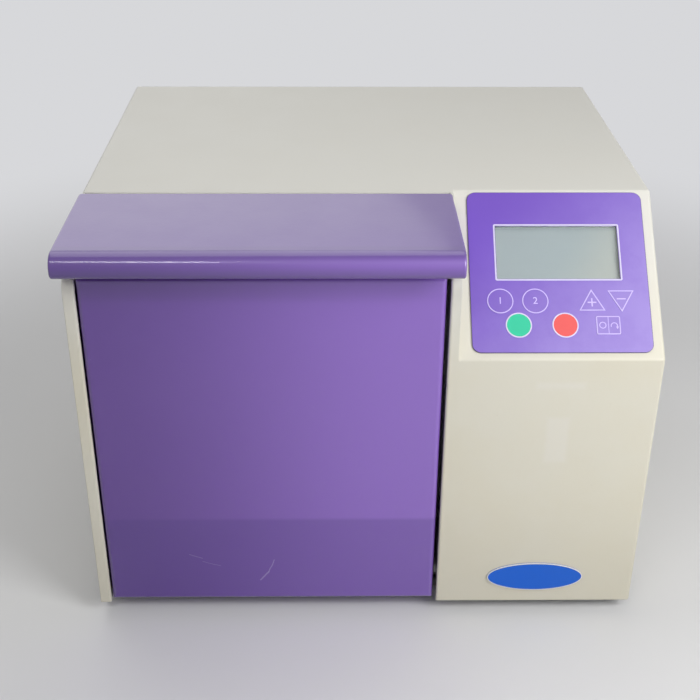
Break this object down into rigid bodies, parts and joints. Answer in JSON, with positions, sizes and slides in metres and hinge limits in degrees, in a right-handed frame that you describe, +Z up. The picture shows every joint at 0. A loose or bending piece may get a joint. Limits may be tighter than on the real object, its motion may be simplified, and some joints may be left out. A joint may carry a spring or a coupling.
{
  "type": "paddle blender homogenizer",
  "caption": "Bench-top paddle blender for sample bags: painted casing with a drop-down door, a lifting hood, paired paddles on an eccentric drive and a sloping membrane keypad.",
  "frame": {"origin": "middle of the object's box, at the bottom of the feet", "axes": "+Z up, +X to the right as seen from the front, +Y to the back; the door faces -Y"},
  "size_m": [0.4, 0.372, 0.3095],
  "materials": {
    "cream_paint": "satin powder coat",
    "purple_paint": "gloss paint",
    "stainless": "brushed",
    "zinc_steel": "zinc plated",
    "machined_aluminium": "machined",
    "black_rubber": "matte",
    "grey_rubber": "matte",
    "white_plastic": "satin",
    "black_plastic": "fine grain",
    "bronze": "oiled",
    "overlay_violet": "satin film",
    "key_violet": "satin film",
    "key_green": "satin film",
    "key_red": "satin film",
    "badge_blue": "gloss",
    "display_glass": "clear",
    "display_grey": "satin",
    "board_green": "solder mask",
    "motor_grey": "matt paint",
    "steel_case": "galvanised"
  },
  "bodies": {
    "housing": {"casing_shell": "cream_paint", "base_plate": "steel_case", "rear_panel": "cream_paint", "rubber_feet": "black_rubber", "foot_screws": "zinc_steel", "rear_panel_screws": "zinc_steel", "badge_plate": "badge_blue", "chamber_left_plate": "stainless", "chamber_right_plate": "stainless", "chamber_back_plate": "stainless", "drip_tray": "stainless", "door_hinge_bushes": "bronze", "hood_fixed_leaf": "zinc_steel", "hood_hinge_pin": "zinc_steel", "keypad_overlay": "overlay_violet", "display_window": "display_glass", "display_module": "display_grey", "control_board": "board_green", "board_standoffs": "zinc_steel", "guide_block": "machined_aluminium", "guide_bushes": "bronze", "bearing_blocks": "machined_aluminium", "shaft_bearings": "zinc_steel", "motor_body": "motor_grey", "motor_bracket": "steel_case", "drive_belt": "black_rubber", "power_supply": "steel_case", "mains_inlet": "black_plastic", "switch_housing": "black_plastic"},
    "hood": {"hood_shell": "purple_paint", "hood_moving_leaf": "zinc_steel", "bag_clamp_bar": "machined_aluminium", "clamp_rubber": "grey_rubber"},
    "door": {"door_panel": "purple_paint", "door_inner_plate": "stainless", "door_pressure_plate": "white_plastic", "door_hinge_blocks": "machined_aluminium", "door_hinge_pins": "zinc_steel", "door_screws": "zinc_steel"},
    "crank": {"eccentric_shaft": "zinc_steel", "eccentrics": "machined_aluminium", "eccentric_rollers": "zinc_steel", "shaft_pulley": "machined_aluminium"},
    "left_pusher": {"left_paddle": "stainless", "left_push_rod": "zinc_steel", "left_yoke": "machined_aluminium"},
    "right_pusher": {"right_paddle": "stainless", "right_push_rod": "zinc_steel", "right_yoke": "machined_aluminium"},
    "motor_rotor": {"motor_shaft": "zinc_steel", "motor_pulley": "machined_aluminium"},
    "rocker": {"power_rocker": "black_plastic"},
    "fuse_holder": {"fuse_drawer": "black_plastic"},
    "key_one": {"key_one": "key_violet"},
    "key_two": {"key_two": "key_violet"},
    "key_start": {"key_start": "key_green"},
    "key_stop": {"key_stop": "key_red"},
    "key_up": {"key_up": "key_violet"},
    "key_down": {"key_down": "key_violet"},
    "key_mode": {"key_mode": "key_violet"}
  },
  "joints": [
    {"name": "hood_lift", "type": "hinge", "parent": "housing", "child": "hood", "pos_m": [-0.07, -0.0755, 0.3037], "axis": [-1, 0, 0], "range_deg": [0, 75]},
    {"name": "door_swing", "type": "hinge", "parent": "housing", "child": "door", "pos_m": [-0.07, -0.149, 0.024], "axis": [1, 0, 0], "range_deg": [0, 90]},
    {"name": "shaft_turn", "type": "hinge", "parent": "housing", "child": "crank", "pos_m": [-0.04, -0.02875, 0.122], "axis": [1, 0, 0], "range_deg": [-90, 90]},
    {"name": "left_paddle_slide", "type": "slide", "parent": "housing", "child": "left_pusher", "axis": [0, -1, 0], "range_m": [-0.008, 0.008]},
    {"name": "right_paddle_slide", "type": "slide", "parent": "housing", "child": "right_pusher", "axis": [0, -1, 0], "range_m": [-0.008, 0.008]},
    {"name": "motor_turn", "type": "hinge", "parent": "housing", "child": "motor_rotor", "pos_m": [0.075, 0.096, 0.067], "axis": [1, 0, 0], "range_deg": [-282, 282]},
    {"name": "rocker_tip", "type": "hinge", "parent": "housing", "child": "rocker", "pos_m": [0.092, 0.174, 0.074], "axis": [-1, 0, 0], "range_deg": [0, 16]},
    {"name": "fuse_drawer_slide", "type": "slide", "parent": "housing", "child": "fuse_holder", "axis": [0, 1, 0], "range_m": [0, 0.018]},
    {"name": "key_one_press", "type": "slide", "parent": "housing", "child": "key_one", "axis": [0, 0.6829, -0.7305], "range_m": [0, 0.00035], "stiffness_N_per_m": 800},
    {"name": "key_two_press", "type": "slide", "parent": "housing", "child": "key_two", "axis": [0, 0.6829, -0.7305], "range_m": [0, 0.00035], "stiffness_N_per_m": 800},
    {"name": "key_start_press", "type": "slide", "parent": "housing", "child": "key_start", "axis": [0, 0.6829, -0.7305], "range_m": [0, 0.00035], "stiffness_N_per_m": 800},
    {"name": "key_stop_press", "type": "slide", "parent": "housing", "child": "key_stop", "axis": [0, 0.6829, -0.7305], "range_m": [0, 0.00035], "stiffness_N_per_m": 800},
    {"name": "key_up_press", "type": "slide", "parent": "housing", "child": "key_up", "axis": [0, 0.6829, -0.7305], "range_m": [0, 0.00035], "stiffness_N_per_m": 800},
    {"name": "key_down_press", "type": "slide", "parent": "housing", "child": "key_down", "axis": [0, 0.6829, -0.7305], "range_m": [0, 0.00035], "stiffness_N_per_m": 800},
    {"name": "key_mode_press", "type": "slide", "parent": "housing", "child": "key_mode", "axis": [0, 0.6829, -0.7305], "range_m": [0, 0.00035], "stiffness_N_per_m": 800}
  ],
  "couplings": [
    {"joint": "left_paddle_slide", "follows": "shaft_turn", "m_per_rad": 0.00509},
    {"joint": "right_paddle_slide", "follows": "shaft_turn", "m_per_rad": -0.00509},
    {"joint": "motor_turn", "follows": "shaft_turn", "ratio": 3.125}
  ]
}
